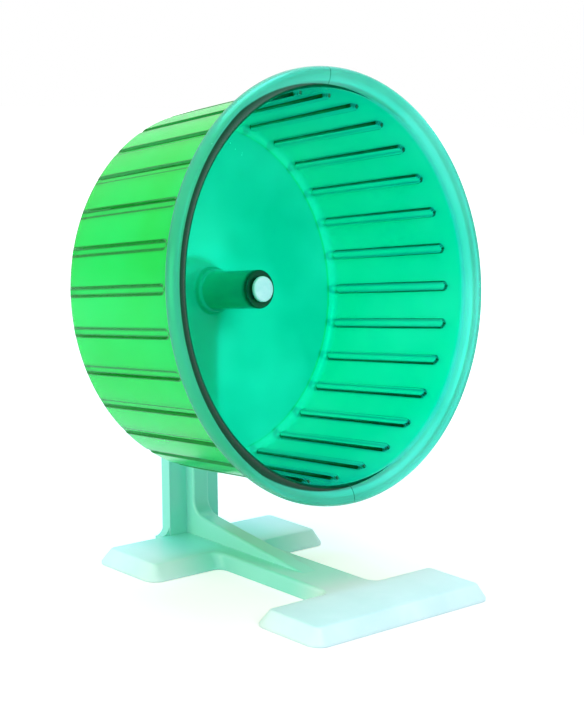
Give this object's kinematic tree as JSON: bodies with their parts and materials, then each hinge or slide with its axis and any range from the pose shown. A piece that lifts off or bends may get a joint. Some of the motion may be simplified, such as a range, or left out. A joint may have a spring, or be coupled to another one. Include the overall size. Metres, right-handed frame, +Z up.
{
  "type": "rodent exercise wheel",
  "caption": "Clear green running drum with a rolled lip, inner treads and a hub tube, turning on an axle fixed to the upright of a white stand with flat feet.",
  "frame": {"origin": "on the floor, under the centre of the drum's mouth, on the stand's underside", "axes": "+Z up, -Y the way the open mouth faces, +X to the right as seen from the front of the mouth; the stand is symmetric about X = 0"},
  "size_m": [0.14, 0.1181, 0.1702],
  "materials": {
    "clear_green_plastic": "clear tinted, polished",
    "white_plastic": "milky, smooth moulded",
    "pin_plastic": "smooth",
    "washer_plastic": "satin"
  },
  "bodies": {
    "stand": {"stand": "white_plastic", "axle_pin": "pin_plastic", "axle_cap": "pin_plastic", "rear_washer": "washer_plastic"},
    "wheel": {"wheel_drum": "clear_green_plastic"}
  },
  "joints": [
    {"name": "wheel_spin", "type": "hinge", "parent": "stand", "child": "wheel", "pos_m": [0, 0, 0.101], "axis": [0, -0.9877, 0.1564], "continuous": true}
  ]
}
